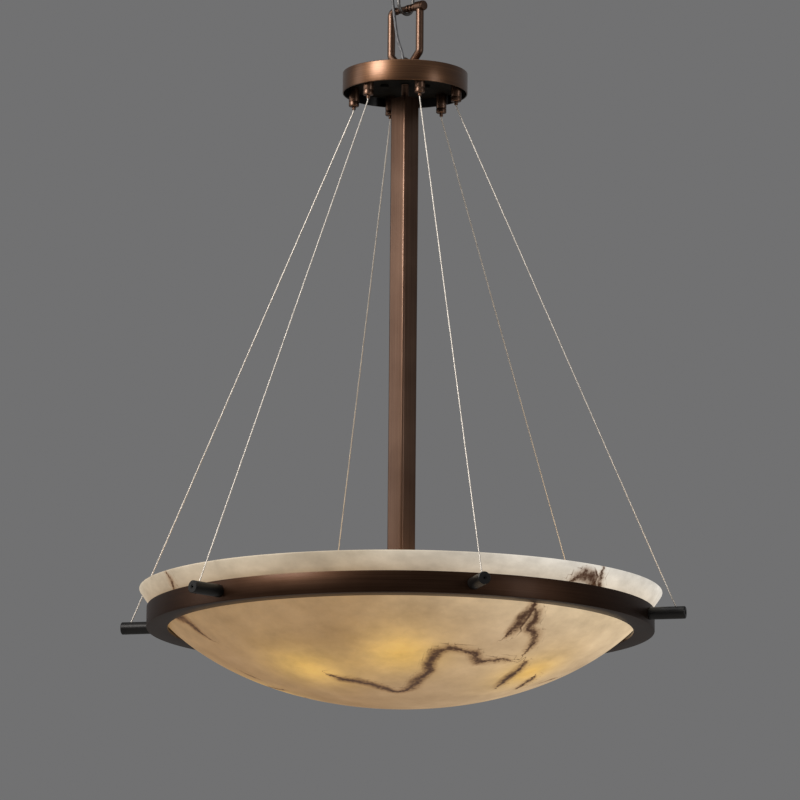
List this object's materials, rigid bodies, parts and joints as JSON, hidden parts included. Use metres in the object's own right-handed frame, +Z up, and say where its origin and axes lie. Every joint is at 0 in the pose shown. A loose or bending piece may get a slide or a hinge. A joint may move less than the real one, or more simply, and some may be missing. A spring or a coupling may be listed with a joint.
{
  "type": "bowl pendant light",
  "caption": "Hanging light: a drum hub on a shackle, a square centre tube, taut cables and an angle ring that carries a translucent stone bowl over radial bulbs.",
  "frame": {"origin": "middle of the ceiling face of the mounting strap", "axes": "+Z up into the ceiling; the square tube's faces look along X and Y; the first ring pin points along +X"},
  "size_m": [0.697, 0.6242, 0.9378],
  "materials": {
    "bronze": "satin bronze",
    "steel": "plated",
    "cable": "stranded",
    "black": "matt",
    "stone": "polished, translucent",
    "seat": "matt",
    "cord": "satin",
    "bush": "matt",
    "porcelain": "glazed",
    "bulb": "frosted"
  },
  "bodies": {
    "canopy": {"mounting_strap": "steel", "canopy_nipple": "steel", "nipple_locknut": "steel", "canopy_shell": "bronze", "canopy_loop": "bronze", "canopy_cord_bush": "bush", "supply_cord_upper": "cord"},
    "hanging_loop": {"hanging_loop": "steel"},
    "shackle": {"shackle_bow": "bronze", "supply_cord_middle": "cord"},
    "shackle_pin": {"shackle_pin": "bronze"},
    "pendant": {"hub_shell": "bronze", "hub_cord_bush": "bush", "hub_plate": "steel", "plate_studs": "steel", "plate_knobs": "bronze", "hub_staple": "bronze", "staple_nuts": "steel", "supply_cord_lower": "cord", "cable_grippers": "steel", "gripper_nuts": "steel", "suspension_cable_1": "cable", "suspension_cable_2": "cable", "suspension_cable_3": "cable", "suspension_cable_4": "cable", "suspension_cable_5": "cable", "suspension_cable_6": "cable", "ring_pin_1": "black", "ring_pin_2": "black", "ring_pin_3": "black", "ring_pin_4": "black", "ring_pin_5": "black", "ring_pin_6": "black", "support_ring": "bronze", "pin_nuts": "steel", "pin_grub_screws": "black", "bowl_seat": "seat", "centre_tube": "bronze", "tube_nipple": "steel", "tube_nuts": "steel", "lamp_cluster": "bronze", "cluster_finial": "bronze", "lamp_arms": "steel", "lampholders": "porcelain"},
    "bowl": {"alabaster_bowl": "stone"},
    "plunger_1": {"gripper_plunger_1": "steel"},
    "plunger_2": {"gripper_plunger_2": "steel"},
    "plunger_3": {"gripper_plunger_3": "steel"},
    "plunger_4": {"gripper_plunger_4": "steel"},
    "plunger_5": {"gripper_plunger_5": "steel"},
    "plunger_6": {"gripper_plunger_6": "steel"},
    "bulb_1": {"bulb_1": "bulb"},
    "bulb_2": {"bulb_2": "bulb"},
    "bulb_3": {"bulb_3": "bulb"},
    "bulb_4": {"bulb_4": "bulb"},
    "bulb_5": {"bulb_5": "bulb"},
    "bulb_6": {"bulb_6": "bulb"}
  },
  "joints": [
    {"name": "loop_swing", "type": "hinge", "parent": "canopy", "child": "hanging_loop", "pos_m": [0, 0, -0.0574], "axis": [0, 1, 0], "range_deg": [-30, 30], "deforming": ["supply_cord_upper"]},
    {"name": "shackle_swing", "type": "hinge", "parent": "hanging_loop", "child": "shackle", "pos_m": [0, 0, -0.0861], "axis": [1, 0, 0], "range_deg": [-25, 25], "deforming": ["supply_cord_middle"]},
    {"name": "pendant_swing", "type": "hinge", "parent": "shackle", "child": "pendant", "pos_m": [0, 0, -0.1503], "axis": [0, 1, 0], "range_deg": [-20, 20], "deforming": ["supply_cord_lower"]},
    {"name": "shackle_pin_out", "type": "slide", "parent": "shackle", "child": "shackle_pin", "axis": [0, -1, 0], "range_m": [0, 0.048]},
    {"name": "bowl_lift", "type": "slide", "parent": "pendant", "child": "bowl", "axis": [0, 0, 1], "range_m": [0, 0.012]},
    {"name": "plunger_1_press", "type": "slide", "parent": "pendant", "child": "plunger_1", "axis": [0, 0, 1], "range_m": [0, 0.0018], "stiffness_N_per_m": 1200, "springref_m": -0.001},
    {"name": "plunger_2_press", "type": "slide", "parent": "pendant", "child": "plunger_2", "axis": [0, 0, 1], "range_m": [0, 0.0018], "stiffness_N_per_m": 1200, "springref_m": -0.001},
    {"name": "plunger_3_press", "type": "slide", "parent": "pendant", "child": "plunger_3", "axis": [0, 0, 1], "range_m": [0, 0.0018], "stiffness_N_per_m": 1200, "springref_m": -0.001},
    {"name": "plunger_4_press", "type": "slide", "parent": "pendant", "child": "plunger_4", "axis": [0, 0, 1], "range_m": [0, 0.0018], "stiffness_N_per_m": 1200, "springref_m": -0.001},
    {"name": "plunger_5_press", "type": "slide", "parent": "pendant", "child": "plunger_5", "axis": [0, 0, 1], "range_m": [0, 0.0018], "stiffness_N_per_m": 1200, "springref_m": -0.001},
    {"name": "plunger_6_press", "type": "slide", "parent": "pendant", "child": "plunger_6", "axis": [0, 0, 1], "range_m": [0, 0.0018], "stiffness_N_per_m": 1200, "springref_m": -0.001},
    {"name": "bulb_1_out", "type": "slide", "parent": "pendant", "child": "bulb_1", "axis": [0.7071, 0.7071, 0], "range_m": [0, 0.026]},
    {"name": "bulb_2_out", "type": "slide", "parent": "pendant", "child": "bulb_2", "axis": [-0.2588, 0.9659, 0], "range_m": [0, 0.026]},
    {"name": "bulb_3_out", "type": "slide", "parent": "pendant", "child": "bulb_3", "axis": [-0.9659, 0.2588, 0], "range_m": [0, 0.026]},
    {"name": "bulb_4_out", "type": "slide", "parent": "pendant", "child": "bulb_4", "axis": [-0.7071, -0.7071, 0], "range_m": [0, 0.026]},
    {"name": "bulb_5_out", "type": "slide", "parent": "pendant", "child": "bulb_5", "axis": [0.2588, -0.9659, 0], "range_m": [0, 0.026]},
    {"name": "bulb_6_out", "type": "slide", "parent": "pendant", "child": "bulb_6", "axis": [0.9659, -0.2588, 0], "range_m": [0, 0.026]}
  ]
}
